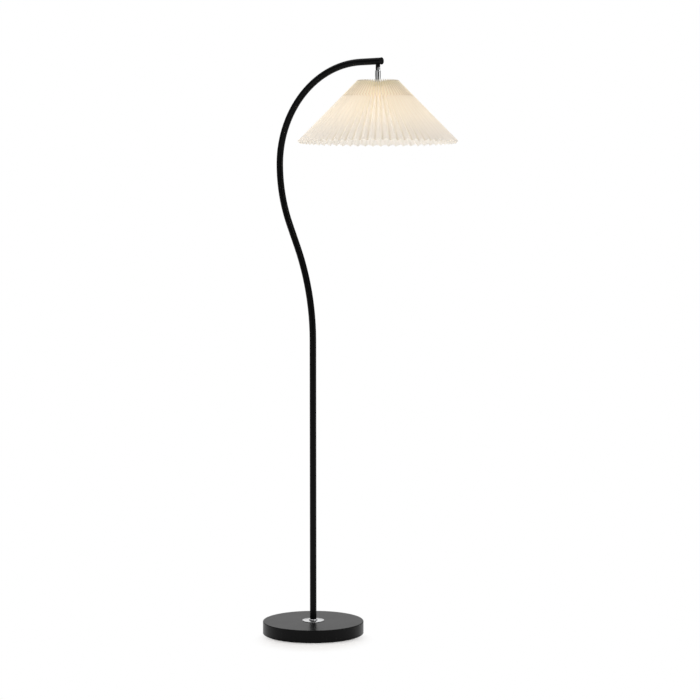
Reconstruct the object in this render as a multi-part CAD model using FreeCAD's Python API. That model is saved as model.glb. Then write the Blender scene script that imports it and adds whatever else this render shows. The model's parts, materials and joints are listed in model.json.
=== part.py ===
"""Arc floor lamp with a pleated shade on a tilting head.

Millimetres, +Z up. The origin is on the floor, at the centre of the round base. The arm
reaches towards +X, so the lamp is alike on both sides of the XZ plane. The head tilts about
an axis along X, through the pivot screw of its swivel.
"""
import FreeCAD
import Part
import math
import os

V = FreeCAD.Vector
UP = V(0, 0, 1)
FORWARD = V(1, 0, 0)

# Base: a pressed cover over a cast weight, on a foam foot pad
BASE_R = 130.0
BASE_TOP_Z = 32.2
BASE_RIM_Z = 1.0
BASE_EDGE_ROUND = 2.2
COVER_WALL = 1.2
PAD_R = 124.0
PAD_THICK = 3.0
WEIGHT_R = 127.5
WEIGHT_PLATE = 8.0
WEIGHT_RIM_WIDTH = 13.5
WEIGHT_RECESS_R = 24.0
WEIGHT_HUB_THICK = 5.8
WEIGHT_RIBS = 6
WEIGHT_RIB_WIDTH = 7.0
CABLE_WAY_WIDTH = 16.0

# Cord outlet, at the back of the base
OUTLET_Z = 12.0
OUTLET_BORE_R = 3.3
OUTLET_BARREL_R = 5.0
OUTLET_FLANGE_R = 7.0
OUTLET_FLANGE = 2.0
OUTLET_LENGTH = 16.0

# Trim and fastening where the pole meets the base
FLANGE_R = 28.2
FLANGE_THICK = 2.0
HUB_R = 11.4
HUB_HEIGHT = 2.8
HUB_EDGE_ROUND = 0.8
NIPPLE_R = 5.0
NIPPLE_BORE_R = 3.6
NIPPLE_BOTTOM_Z = 15.7
NIPPLE_IN_POLE = 18.0
WASHER_R = 18.0
WASHER_THICK = 2.0
SPRING_WASHER_R = 8.8
SPRING_WASHER_THICK = 1.4
NUT_FLATS = 17.0
NUT_THICK = 4.0

# Pole and arm: one tube size, in three lengths
TUBE_R = 8.5
TUBE_WALL = 1.7
TUBE_END_CHAMFER = 0.25
POLE_JOINT_Z = 655.3
BEND_START_Z = 756.8
LOWER_BEND_R = 620.0
LEAN_DEG = 22.8
LEAN_RUN = 61.1
UPPER_BEND_R = 400.0
ARC_R = 250.0
ARM_END_RUN = 60.7
BUSH_LENGTH = 22.0
STUD_THREAD = 18.0
STUD_SEAT = 20.0

# Plug in the free end of the arm
CAP_R = 9.0
CAP_THICK = 2.9
CAP_SPIGOT = 4.0
CAP_RECESS_R = 4.6
CAP_RECESS = 0.9
BUTTON_THICK = 0.85
BUTTON_CROWN_R = 24.0

# Swivel that carries the head: two half tongues side by side on one screw
HEAD_SETBACK = 9.3
BOSS_R = 5.7
BOSS_DROP = 12.0
SWIVEL_DROP = 18.6
TONGUE_R = 3.9
TONGUE_GAP = 0.8
SHOULDER = 4.2
SPIGOT_R = 4.0
SPIGOT_BORE_R = 2.9
SCREW_R = 1.5
SCREW_HEAD_R = 2.7
SCREW_SEAT = 3.2
SCREW_HEAD = 2.0
PIVOT_NUT_FLATS = 5.5
PIVOT_NUT = 2.0
RUNNING_GAP = 0.05
HEAD_BODY_R = 7.0
HEAD_BODY = 17.4
SLEEVE_R = 6.6
SLEEVE_BORE_R = 5.0
SLEEVE = 14.0
HEAD_NIPPLE_IN = 6.0

# Lamp holder for an E27 bulb, with the ring that clamps the shade carrier
HOLDER_R = 19.5
HOLDER_WALL = 2.2
HOLDER_CAP = 20.0
HOLDER_FLANGE_R = 23.0
HOLDER_FLANGE = 2.6
HOLDER_SKIRT = 27.5
HOLDER_SKIRT_R = 19.0
SCREW_SHELL_R = 13.8
SCREW_SHELL_WALL = 0.6
SCREW_SHELL = 24.0
CORE_THICK = 6.0
RING_R = 26.0
RING_THICK = 6.0
RING_GRIPS = 12

# Shade: ridge ends as (radius, height), folded in panels of one width
SHADE_TOP = (51.0, 1411.3)
SHADE_BOTTOM = (200.2, 1260.7)
PLEATS = 64
PANEL_WIDTH = 12.5
FABRIC = 0.6
CARRIER_THICK = 0.8
CARRIER_SKIRT = 8.0
CARRIER_BEAD_R = 46.0
CARRIER_BEAD = 2.4

# Bulb: A60 shape with an E27 cap
BULB_R = 30.0
BULB_LENGTH = 108.0
BULB_CAP_R = 13.2
BULB_CAP = 22.0
BULB_HOUSING = 30.0
BULB_HOUSING_R = 27.0
BULB_TIP_R = 4.6
BULB_TIP = 1.2
BULB_INSULATOR = 2.4
BULB_WALL = 1.2
BULB_CAP_WALL = 0.8
BULB_THREAD_TURNS = 4
BULB_THREAD_PITCH = 3.6

# Two-core lead that runs inside the pole, the arm and the head
LEAD_R = 2.3
LEAD_START_X = -100.0
LEAD_Z = 7.0
LEAD_FOOT_BEND_R = 10.0
LEAD_HEAD_BEND_R = 8.0

# Heights and places that follow from the sizes above
COVER_INSIDE_Z = BASE_TOP_Z - COVER_WALL
FLANGE_TOP_Z = BASE_TOP_Z + FLANGE_THICK
POLE_BOTTOM_Z = FLANGE_TOP_Z + HUB_HEIGHT
POLE_MIDDLE_Z = (POLE_BOTTOM_Z + POLE_JOINT_Z) / 2
TUBE_BORE_R = TUBE_R - TUBE_WALL


# Building blocks

def outline(*stations):
    """Closed face in the XZ plane. A station of four numbers is an arc through its first pair."""
    points = [V(s[-2], 0, s[-1]) for s in stations]
    edges = []
    for index, station in enumerate(stations):
        start = points[index - 1]
        if len(station) == 4:
            edges.append(Part.Arc(start, V(station[0], 0, station[1]), points[index]).toShape())
        else:
            edges.append(Part.LineSegment(start, points[index]).toShape())
    return Part.Face(Part.Wire(edges))


def turned(*stations):
    """Solid turned about Z from an outline of (radius, height) stations."""
    return outline(*stations).revolve(V(0, 0, 0), UP, 360)


def ring(inner, outer, low, high):
    """Plain washer or sleeve about Z."""
    return turned((inner, low), (outer, low), (outer, high), (inner, high))


def rod(radius, low, high):
    """Plain cylinder about Z."""
    return Part.makeCylinder(radius, high - low, V(0, 0, low))


def block(low, high):
    """Box between two corners."""
    return Part.makeBox(high[0] - low[0], high[1] - low[1], high[2] - low[2], V(*low))


def hex_nut(flats, bore, low, high):
    """Hexagon nut about Z, its corners chamfered on both faces."""
    corner = flats / math.sqrt(3)
    angles = [math.radians(60 * side) for side in range(7)]
    points = [V(corner * math.cos(a), corner * math.sin(a), low) for a in angles]
    blank = Part.Face(Part.makePolygon(points)).extrude(V(0, 0, high - low))
    bevel = (corner - flats / 2) * 0.6
    form = turned((0, low), (flats / 2, low), (corner, low + bevel),
                  (corner, high - bevel), (flats / 2, high), (0, high))
    return blank.common(form).cut(rod(bore, low - 1, high + 1))


def soften(solid, size, *rims):
    """Round the circular edges about Z that are given as (radius, height) pairs."""
    def is_rim(edge):
        curve = edge.Curve
        if not isinstance(curve, Part.Circle):
            return False
        return any(abs(curve.Radius - r) < 0.01 and abs(curve.Center.z - z) < 0.01 for r, z in rims)
    return solid.makeFillet(size, [edge for edge in solid.Edges if is_rim(edge)])


def along_x(solid, x, z):
    """Lay a solid made about +Z along +X, its origin going to (x, 0, z)."""
    laid = solid.copy()
    laid.rotate(V(0, 0, 0), V(0, 1, 0), 90)
    laid.translate(V(x, 0, z))
    return laid


class Route:
    """Straight runs and tangent arcs in the XZ plane. Heading 0 is +Z and 90 is +X."""

    def __init__(self, x, z, heading):
        self.point = V(x, 0, z)
        self.heading = heading
        self.edges = []

    def direction(self, turn=0.0):
        angle = math.radians(self.heading + turn)
        return V(math.sin(angle), 0, math.cos(angle))

    def run(self, length):
        end = self.point + self.direction() * length
        self.edges.append(Part.LineSegment(self.point, end).toShape())
        self.point = end

    def bend(self, radius, turn):
        side = 90 if turn > 0 else -90
        centre = self.point + self.direction(side) * radius
        middle = centre - self.direction(side + turn / 2) * radius
        end = centre - self.direction(side + turn) * radius
        self.edges.append(Part.Arc(self.point, middle, end).toShape())
        self.point = end
        self.heading += turn

    def swept(self, radius):
        start = self.edges[0].Vertexes[0].Point
        section = Part.Wire(Part.makeCircle(radius, start, self.edges[0].tangentAt(0)))
        return Part.Wire(self.edges).makePipeShell([section], True, False)


def follow_arm(route):
    """Add the S-bend and the arc of the arm to a route that is rising along the pole."""
    route.run(BEND_START_Z - route.point.z)
    route.bend(LOWER_BEND_R, -LEAN_DEG)
    route.run(LEAN_RUN)
    route.bend(UPPER_BEND_R, LEAN_DEG)
    route.bend(ARC_R, 90)


# Base

def base_cover():
    """Pressed steel shell, open below, with a rounded top edge and a hole for the outlet."""
    bore = NIPPLE_R + 0.2
    shell = turned((bore, COVER_INSIDE_Z), (bore, BASE_TOP_Z), (BASE_R, BASE_TOP_Z),
                   (BASE_R, BASE_RIM_Z), (BASE_R - COVER_WALL, BASE_RIM_Z),
                   (BASE_R - COVER_WALL, COVER_INSIDE_Z))
    shell = soften(shell, BASE_EDGE_ROUND, (BASE_R, BASE_TOP_Z))
    shell = soften(shell, BASE_EDGE_ROUND - COVER_WALL, (BASE_R - COVER_WALL, COVER_INSIDE_Z))
    return shell.cut(along_x(rod(OUTLET_BARREL_R, 0, BASE_R), -BASE_R - 5, OUTLET_Z))


def base_weight():
    """Cast weight: a plate with a deep rim, ribs and a raised seat for the washer."""
    plate_z = COVER_INSIDE_Z - WEIGHT_PLATE
    recess_z = COVER_INSIDE_Z - WEIGHT_HUB_THICK
    rim_r = WEIGHT_R - WEIGHT_RIM_WIDTH
    bore = NIPPLE_R + 0.3
    draft = 1.5
    hub_r = WEIGHT_RECESS_R + 6.0
    hub_z = plate_z - 6.0
    casting = turned((bore, COVER_INSIDE_Z), (WEIGHT_R - 2, COVER_INSIDE_Z),
                     (WEIGHT_R, COVER_INSIDE_Z - 2), (WEIGHT_R, PAD_THICK),
                     (rim_r + draft, PAD_THICK), (rim_r, plate_z), (hub_r, plate_z),
                     (hub_r - draft, hub_z), (WEIGHT_RECESS_R, hub_z),
                     (WEIGHT_RECESS_R, recess_z), (bore, recess_z))
    rib = block((hub_r - 3, -WEIGHT_RIB_WIDTH / 2, hub_z),
                (rim_r + 1, WEIGHT_RIB_WIDTH / 2, plate_z))
    for index in range(WEIGHT_RIBS):
        turned_rib = rib.copy()
        turned_rib.rotate(V(0, 0, 0), UP, (index + 0.5) * 360 / WEIGHT_RIBS)
        casting = casting.fuse(turned_rib)
    half = CABLE_WAY_WIDTH / 2
    return casting.cut(block((-BASE_R, -half, 0), (0, half, plate_z))).removeSplitter()


def foot_pad():
    """Foam disc under the weight, the only face that touches the floor."""
    return rod(PAD_R, 0, PAD_THICK)


def cord_bushing():
    """Flanged bush in the wall of the cover, bored for the supply cord."""
    tail = OUTLET_LENGTH - OUTLET_FLANGE
    catch = OUTLET_BARREL_R - 0.6
    flange = turned((OUTLET_BORE_R, 0), (OUTLET_FLANGE_R, 0), (OUTLET_FLANGE_R, -OUTLET_FLANGE),
                    (OUTLET_BORE_R, -OUTLET_FLANGE))
    flange = soften(flange, 0.9, (OUTLET_FLANGE_R, -OUTLET_FLANGE))
    barrel = turned((OUTLET_BORE_R, 0), (OUTLET_BARREL_R, 0), (OUTLET_BARREL_R, tail - 4),
                    (catch, tail), (OUTLET_BORE_R, tail))
    return along_x(flange.fuse(barrel).removeSplitter(), -BASE_R, OUTLET_Z)


def base_flange():
    """Chrome escutcheon on the cover: a shallow dome with a thick rolled rim."""
    lip = 0.7
    return turned((NIPPLE_R + 0.1, BASE_TOP_Z), (FLANGE_R - lip, BASE_TOP_Z),
                  (FLANGE_R, BASE_TOP_Z + lip, FLANGE_R - lip, BASE_TOP_Z + 2 * lip),
                  (FLANGE_R - 3, BASE_TOP_Z + lip),
                  (21.0, FLANGE_TOP_Z - 0.5, HUB_R + 2, FLANGE_TOP_Z),
                  (NIPPLE_R + 0.1, FLANGE_TOP_Z))


def pole_hub():
    """Turned chrome collar under the foot of the pole, its top edge rounded."""
    collar = turned((NIPPLE_R + 0.1, FLANGE_TOP_Z), (HUB_R - 0.3, FLANGE_TOP_Z),
                    (HUB_R, FLANGE_TOP_Z + 0.3), (HUB_R, POLE_BOTTOM_Z),
                    (NIPPLE_R + 0.1, POLE_BOTTOM_Z))
    return soften(collar, HUB_EDGE_ROUND, (HUB_R, POLE_BOTTOM_Z))


def base_nipple():
    """Hollow threaded rod that pulls the pole and the base together."""
    return ring(NIPPLE_BORE_R, NIPPLE_R, NIPPLE_BOTTOM_Z, POLE_BOTTOM_Z + NIPPLE_IN_POLE)


def base_washer():
    """Wide plain washer under the weight."""
    top = COVER_INSIDE_Z - WEIGHT_HUB_THICK
    return ring(NIPPLE_R, WASHER_R, top - WASHER_THICK, top)


def base_spring_washer():
    """Split washer, its ends cut on the slant."""
    top = COVER_INSIDE_Z - WEIGHT_HUB_THICK - WASHER_THICK
    washer = ring(NIPPLE_R, SPRING_WASHER_R, top - SPRING_WASHER_THICK, top)
    split = block((0, -0.6, top - 5), (20, 0.6, top + 5))
    split.rotate(V(0, 0, top), FORWARD, 20)
    return washer.cut(split)


def base_nut():
    """Hexagon nut at the foot of the nipple."""
    top = COVER_INSIDE_Z - WEIGHT_HUB_THICK - WASHER_THICK - SPRING_WASHER_THICK
    return hex_nut(NUT_FLATS, NIPPLE_R, top - NUT_THICK, top)


# Pole and arm

def pole_section(low, high):
    """Straight length of the pole, its ends faintly chamfered outside."""
    c = TUBE_END_CHAMFER
    return turned((TUBE_BORE_R, low), (TUBE_R - c, low), (TUBE_R, low + c),
                  (TUBE_R, high - c), (TUBE_R - c, high), (TUBE_BORE_R, high))


def threaded_bush(top):
    """Bush fixed inside the end of a tube, tapped for a hollow stud."""
    return ring(NIPPLE_R, TUBE_BORE_R, top - BUSH_LENGTH, top)


def joint_stud(seam_z):
    """Hollow stud fixed in the foot of one tube and screwed into the bush of the tube below."""
    return turned((NIPPLE_BORE_R, seam_z - STUD_THREAD), (NIPPLE_R - 0.5, seam_z - STUD_THREAD),
                  (NIPPLE_R, seam_z - STUD_THREAD + 0.5), (NIPPLE_R, seam_z),
                  (TUBE_BORE_R, seam_z), (TUBE_BORE_R, seam_z + STUD_SEAT),
                  (NIPPLE_BORE_R, seam_z + STUD_SEAT))


def arm_route():
    """Centre line of the arm tube, from the upper pole joint to its free end."""
    route = Route(0, POLE_JOINT_Z, 0)
    follow_arm(route)
    route.run(ARM_END_RUN)
    return route


ARM_END = arm_route().point
LAMP_X = ARM_END.x - HEAD_SETBACK
ARM_Z = ARM_END.z
PIVOT_Z = ARM_Z - SWIVEL_DROP


def at_lamp(solid):
    """Move a solid made about the Z axis to the axis of the lamp head."""
    moved = solid.copy()
    moved.translate(V(LAMP_X, 0, 0))
    return moved


def arm_tube():
    """Bent upper tube, with a hole in its underside for the boss."""
    route = arm_route()
    tube = route.swept(TUBE_R).cut(route.swept(TUBE_BORE_R))
    return tube.cut(at_lamp(rod(5.0, ARM_Z - 12, ARM_Z)))


def arm_end_cap():
    """Moulded plug in the end of the arm, with a rounded rim round a recess."""
    plug = turned((0, -CAP_SPIGOT), (TUBE_BORE_R - 0.3, -CAP_SPIGOT), (TUBE_BORE_R, 0.5 - CAP_SPIGOT),
                  (TUBE_BORE_R, 0), (CAP_R - 0.3, 0), (CAP_R, 0.3),
                  (CAP_R, CAP_THICK - 1.2),
                  (CAP_R - 0.35, CAP_THICK - 0.35, CAP_R - 1.2, CAP_THICK),
                  (CAP_RECESS_R, CAP_THICK), (CAP_RECESS_R, CAP_THICK - CAP_RECESS),
                  (0, CAP_THICK - CAP_RECESS))
    return along_x(plug, ARM_END.x, ARM_Z)


def arm_end_disc():
    """Button pressed into the recess of the end cap, slightly crowned."""
    floor = CAP_THICK - CAP_RECESS
    crown = Part.makeSphere(BUTTON_CROWN_R, V(0, 0, floor + BUTTON_THICK - BUTTON_CROWN_R))
    return along_x(rod(CAP_RECESS_R, floor, floor + BUTTON_THICK + 1).common(crown), ARM_END.x, ARM_Z)


def arm_boss():
    """Boss welded under the arm, coped to the tube and tapped for the swivel."""
    low = ARM_Z - BOSS_DROP
    outside = rod(BOSS_R, low, ARM_Z).cut(along_x(rod(TUBE_R, -20, 20), 0, ARM_Z))
    inside = rod(5.0, low, ARM_Z).cut(along_x(rod(TUBE_BORE_R, -20, 20), 0, ARM_Z))
    boss = outside.fuse(inside).cut(rod(SPIGOT_R, low - 1, ARM_Z + 1))
    return at_lamp(boss.removeSplitter())


# Swivel

def half_tongue(side, reach):
    """Half of a round bar, on one side of the swivel, its end rounded about the pivot."""
    bar = rod(BOSS_R, PIVOT_Z - 20, PIVOT_Z + 20)
    near = TONGUE_GAP / 2
    spans = {1: (near, BOSS_R + 1), -1: (-BOSS_R - 1, -near)}
    low_x, high_x = spans[side]
    low_z, high_z = sorted((PIVOT_Z, PIVOT_Z + reach))
    neck = block((low_x, -TONGUE_R, low_z), (high_x, TONGUE_R, high_z))
    end = along_x(rod(TONGUE_R, low_x, high_x), 0, PIVOT_Z)
    return bar.common(neck.fuse(end))


def swivel_upper():
    """Fixed half of the swivel, with its spigot, its tongue and a pocket for the nut."""
    shoulder_z = PIVOT_Z + SHOULDER
    boss_z = ARM_Z - BOSS_DROP
    neck = rod(BOSS_R, shoulder_z, boss_z)
    spigot = rod(SPIGOT_R, boss_z, ARM_Z - TUBE_BORE_R - 0.2)
    body = neck.fuse(spigot).fuse(half_tongue(-1, SHOULDER))
    body = body.cut(rod(SPIGOT_BORE_R, shoulder_z + 0.6, ARM_Z))
    body = body.cut(along_x(rod(SCREW_R, -20, 0), 0, PIVOT_Z))
    pocket = hex_nut(PIVOT_NUT_FLATS, 0.1, -10, -SCREW_SEAT).fuse(rod(1, -10, -SCREW_SEAT))
    return at_lamp(body.cut(along_x(pocket, 0, PIVOT_Z)).removeSplitter())


def swivel_lower():
    """Chrome half of the swivel: tongue, round body and a tapped hole for the head's nipple."""
    shoulder_z = PIVOT_Z - SHOULDER
    low = shoulder_z - HEAD_BODY
    groove = shoulder_z - 4.0
    body = turned((0, low), (HEAD_BODY_R - 0.3, low), (HEAD_BODY_R, low + 0.3),
                  (HEAD_BODY_R, groove - 0.5), (HEAD_BODY_R - 0.6, groove),
                  (HEAD_BODY_R, groove + 0.5), (HEAD_BODY_R, shoulder_z - 0.9),
                  (HEAD_BODY_R - 0.9, shoulder_z), (0, shoulder_z))
    body = body.fuse(half_tongue(1, -SHOULDER))
    body = body.cut(rod(SPIGOT_R, low - 1, low + HEAD_NIPPLE_IN))
    body = body.cut(rod(SPIGOT_BORE_R, low, shoulder_z - 1.5))
    body = body.cut(along_x(rod(SCREW_R + RUNNING_GAP, 0, 20), 0, PIVOT_Z))
    head_room = rod(SCREW_HEAD_R + 0.2, SCREW_SEAT - RUNNING_GAP, 20)
    return at_lamp(body.cut(along_x(head_room, 0, PIVOT_Z)).removeSplitter())


def pivot_screw():
    """Screw along X that the head tilts on, with a slotted, domed head."""
    top = SCREW_SEAT + SCREW_HEAD
    screw = turned((0, -SCREW_SEAT - PIVOT_NUT), (SCREW_R - 0.3, -SCREW_SEAT - PIVOT_NUT),
                   (SCREW_R, -SCREW_SEAT - PIVOT_NUT + 0.3), (SCREW_R, SCREW_SEAT),
                   (SCREW_HEAD_R, SCREW_SEAT), (SCREW_HEAD_R, top - 0.9),
                   (SCREW_HEAD_R - 1.1, top - 0.25, 0, top))
    slot = block((-SCREW_HEAD_R - 1, -0.45, top - 1.0), (SCREW_HEAD_R + 1, 0.45, top + 1))
    return at_lamp(along_x(screw.cut(slot), 0, PIVOT_Z))


def pivot_nut():
    """Nut held in the pocket of the fixed tongue."""
    nut = hex_nut(PIVOT_NUT_FLATS, SCREW_R, -SCREW_SEAT - PIVOT_NUT, -SCREW_SEAT)
    return at_lamp(along_x(nut, 0, PIVOT_Z))


def friction_washer():
    """Washer between the two tongues, which holds the head where it is set."""
    washer = ring(SCREW_R, TONGUE_R - 0.4, -TONGUE_GAP / 2, TONGUE_GAP / 2 - RUNNING_GAP)
    return at_lamp(along_x(washer, 0, PIVOT_Z))


# Head: heights run down from the swivel

SLEEVE_TOP_Z = PIVOT_Z - SHOULDER - HEAD_BODY
HOLDER_TOP_Z = SLEEVE_TOP_Z - SLEEVE
CAP_BOTTOM_Z = HOLDER_TOP_Z - HOLDER_CAP
PLATE_TOP_Z = CAP_BOTTOM_Z - HOLDER_FLANGE
PLATE_BOTTOM_Z = PLATE_TOP_Z - CARRIER_THICK
SKIRT_BOTTOM_Z = CAP_BOTTOM_Z - HOLDER_SKIRT
CORE_BOTTOM_Z = CAP_BOTTOM_Z - 1.0
BULB_TOP_Z = CORE_BOTTOM_Z - 1.2
HEAD_NIPPLE_BOTTOM_Z = HOLDER_TOP_Z - 6.0


def head_sleeve():
    """Plain chrome sleeve between the swivel and the lamp holder."""
    return at_lamp(ring(SLEEVE_BORE_R, SLEEVE_R, HOLDER_TOP_Z, SLEEVE_TOP_Z))


def head_nipple():
    """Hollow threaded rod that joins the swivel to the lamp holder."""
    return at_lamp(ring(SPIGOT_BORE_R, SPIGOT_R, HEAD_NIPPLE_BOTTOM_Z, SLEEVE_TOP_Z + HEAD_NIPPLE_IN))


def holder_cap():
    """Domed top of the lamp holder, with a tapped entry for the nipple."""
    inside = HOLDER_R - HOLDER_WALL
    entry = HOLDER_TOP_Z - 6.0
    return at_lamp(turned(
        (SPIGOT_R, HOLDER_TOP_Z), (8.5, HOLDER_TOP_Z), (8.5, HOLDER_TOP_Z - 2),
        (16.6, HOLDER_TOP_Z - 4.6, HOLDER_R, HOLDER_TOP_Z - 11), (HOLDER_R, CAP_BOTTOM_Z),
        (inside, CAP_BOTTOM_Z), (inside, HOLDER_TOP_Z - 12),
        (15.2, HOLDER_TOP_Z - 7.0, SPIGOT_R + 3, HOLDER_TOP_Z - 5.0),
        (SPIGOT_R + 3, entry), (SPIGOT_R, entry)))


def holder_body():
    """Skirt of the lamp holder, with the flange that the shade carrier is clamped against."""
    inside = SCREW_SHELL_R
    return at_lamp(turned(
        (inside, CAP_BOTTOM_Z), (HOLDER_FLANGE_R - 0.5, CAP_BOTTOM_Z),
        (HOLDER_FLANGE_R, CAP_BOTTOM_Z - 0.5), (HOLDER_FLANGE_R, PLATE_TOP_Z),
        (HOLDER_SKIRT_R, PLATE_TOP_Z), (HOLDER_SKIRT_R, SKIRT_BOTTOM_Z + 1),
        (HOLDER_SKIRT_R - 1, SKIRT_BOTTOM_Z), (inside, SKIRT_BOTTOM_Z)))


def holder_core():
    """Ceramic block in the holder, with two terminal holes and a way for the lead."""
    core = rod(HOLDER_R - HOLDER_WALL, CAP_BOTTOM_Z, CAP_BOTTOM_Z + CORE_THICK)
    core = core.fuse(rod(SCREW_SHELL_R, CORE_BOTTOM_Z, CAP_BOTTOM_Z))
    for side in (-1, 1):
        hole = rod(2.0, CORE_BOTTOM_Z - 1, CAP_BOTTOM_Z + CORE_THICK + 1)
        hole.translate(V(0, side * 9.0, 0))
        core = core.cut(hole)
    return at_lamp(core.removeSplitter())


def holder_screw_shell():
    """Brass shell that the bulb screws into."""
    return at_lamp(ring(SCREW_SHELL_R - SCREW_SHELL_WALL, SCREW_SHELL_R,
                        CORE_BOTTOM_Z - SCREW_SHELL, CORE_BOTTOM_Z))


def holder_contact():
    """Bent brass leaf that presses on the tip of the bulb."""
    half = 3.0
    leaf = 0.4
    strip = outline((-9, CORE_BOTTOM_Z), (-6, CORE_BOTTOM_Z), (-1, BULB_TOP_Z + leaf),
                    (5, BULB_TOP_Z + leaf), (5, BULB_TOP_Z), (-1.2, BULB_TOP_Z),
                    (-6.2, CORE_BOTTOM_Z - leaf), (-9, CORE_BOTTOM_Z - leaf))
    leaf_solid = strip.extrude(V(0, 2 * half, 0))
    leaf_solid.translate(V(0, -half, 0))
    return at_lamp(leaf_solid)


def shade_ring():
    """Ring nut on the holder's skirt, with finger grips round its edge."""
    nut = ring(HOLDER_SKIRT_R, RING_R, PLATE_BOTTOM_Z - RING_THICK, PLATE_BOTTOM_Z)
    nut = soften(nut, 1.0, (RING_R, PLATE_BOTTOM_Z - RING_THICK))
    for index in range(RING_GRIPS):
        angle = math.radians(index * 360 / RING_GRIPS)
        grip = rod(1.8, PLATE_BOTTOM_Z - RING_THICK - 1, PLATE_BOTTOM_Z + 1)
        grip.translate(V((RING_R + 0.8) * math.cos(angle), (RING_R + 0.8) * math.sin(angle), 0))
        nut = nut.cut(grip)
    return at_lamp(nut)


# Shade

SHADE_SLANT = math.dist(SHADE_TOP, SHADE_BOTTOM)
NORMAL_R = (SHADE_TOP[1] - SHADE_BOTTOM[1]) / SHADE_SLANT
NORMAL_Z = (SHADE_BOTTOM[0] - SHADE_TOP[0]) / SHADE_SLANT
HALF_PITCH = math.pi / PLEATS


def fold_depth(radius):
    """How far a valley lies under its ridges, along the cone's normal, for one panel width."""
    crown = 1 - math.cos(HALF_PITCH)
    middle = radius * NORMAL_R * crown
    return middle + math.sqrt(middle ** 2 - 2 * crown * radius ** 2 + PANEL_WIDTH ** 2)


def skin_depth(radius):
    """Thickness along the cone's normal that gives each panel the fabric's own thickness."""
    return FABRIC * PANEL_WIDTH / (radius * HALF_PITCH)


def fold_point(rim, step, inside):
    """Corner of the pleated wall at one rim. Even steps are ridges and odd steps valleys."""
    radius, height = rim
    depth = fold_depth(radius) if step % 2 else 0.0
    if inside:
        depth += skin_depth(radius)
    angle = step * HALF_PITCH
    reach = radius - depth * NORMAL_R
    return V(reach * math.cos(angle), reach * math.sin(angle), height - depth * NORMAL_Z)


def pleated_shade():
    """Accordion-pleated cone: deep narrow folds at the top, wide shallow ones at the hem."""
    faces = []
    corners = [(SHADE_TOP, False), (SHADE_BOTTOM, False), (SHADE_BOTTOM, True), (SHADE_TOP, True)]
    for step in range(2 * PLEATS):
        here = [fold_point(rim, step, inside) for rim, inside in corners]
        there = [fold_point(rim, step + 1, inside) for rim, inside in corners]
        for index in range(4):
            a, b = here[index - 1], here[index]
            c, d = there[index], there[index - 1]
            faces.append(Part.Face(Part.makePolygon([a, b, c, a])))
            faces.append(Part.Face(Part.makePolygon([a, c, d, a])))
    shell = Part.makeShell(faces)
    shell.sewShape()
    shade = Part.makeSolid(shell)
    if shade.Volume < 0:
        shade.reverse()
    return at_lamp(shade)


def valley_radius(height):
    """Inner radius of the pleats at one height, where the carrier's skirt touches them."""
    top = fold_point(SHADE_TOP, 1, True)
    bottom = fold_point(SHADE_BOTTOM, 1, True)
    share = (top.z - height) / (top.z - bottom.z)
    top_r = math.hypot(top.x, top.y)
    return top_r + share * (math.hypot(bottom.x, bottom.y) - top_r)


def shade_carrier():
    """Spun dish clamped on the holder, its turned-down skirt glued inside the pleats."""
    low = PLATE_BOTTOM_Z - CARRIER_SKIRT
    high_r = valley_radius(PLATE_TOP_Z)
    low_r = valley_radius(low)
    wall = CARRIER_THICK * 1.4
    bead = CARRIER_BEAD_R
    rise = CARRIER_BEAD
    return at_lamp(turned(
        (HOLDER_SKIRT_R, PLATE_BOTTOM_Z), (HOLDER_SKIRT_R, PLATE_TOP_Z), (bead - 4, PLATE_TOP_Z),
        (bead, PLATE_TOP_Z + rise, bead + 4, PLATE_TOP_Z), (high_r, PLATE_TOP_Z), (low_r, low),
        (low_r - wall, low), (high_r - wall, PLATE_BOTTOM_Z), (bead + 3.4, PLATE_BOTTOM_Z),
        (bead, PLATE_BOTTOM_Z + rise - 0.2, bead - 3.4, PLATE_BOTTOM_Z)))


# Bulb

def bulb_tip():
    """Centre contact of the bulb."""
    return at_lamp(turned((0, BULB_TOP_Z), (BULB_TIP_R - 1, BULB_TOP_Z),
                          (BULB_TIP_R, BULB_TOP_Z - BULB_TIP), (0, BULB_TOP_Z - BULB_TIP)))


INSULATOR_TOP_Z = BULB_TOP_Z - BULB_TIP
CAP_TOP_Z = INSULATOR_TOP_Z - BULB_INSULATOR
HOUSING_TOP_Z = CAP_TOP_Z - BULB_CAP
BULB_EQUATOR_Z = BULB_TOP_Z - BULB_LENGTH + BULB_R


def bulb_insulator():
    """Glass bead between the tip and the screw cap."""
    return at_lamp(turned((0, INSULATOR_TOP_Z), (BULB_TIP_R + 0.6, INSULATOR_TOP_Z),
                          (BULB_CAP_R - 1.5, CAP_TOP_Z), (0, CAP_TOP_Z)))


def bulb_cap():
    """E27 screw cap, a thin shell with its thread drawn as rounded rings."""
    root = BULB_CAP_R - 0.9
    inside = root - BULB_CAP_WALL
    thread_z = CAP_TOP_Z - 1.5
    stations = [(inside, CAP_TOP_Z), (root, CAP_TOP_Z), (root, thread_z)]
    for turn in range(BULB_THREAD_TURNS):
        z = thread_z - turn * BULB_THREAD_PITCH
        stations.append((BULB_CAP_R, z - BULB_THREAD_PITCH / 2, root, z - BULB_THREAD_PITCH))
    stations += [(root, HOUSING_TOP_Z), (inside, HOUSING_TOP_Z)]
    return at_lamp(turned(*stations))


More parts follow.
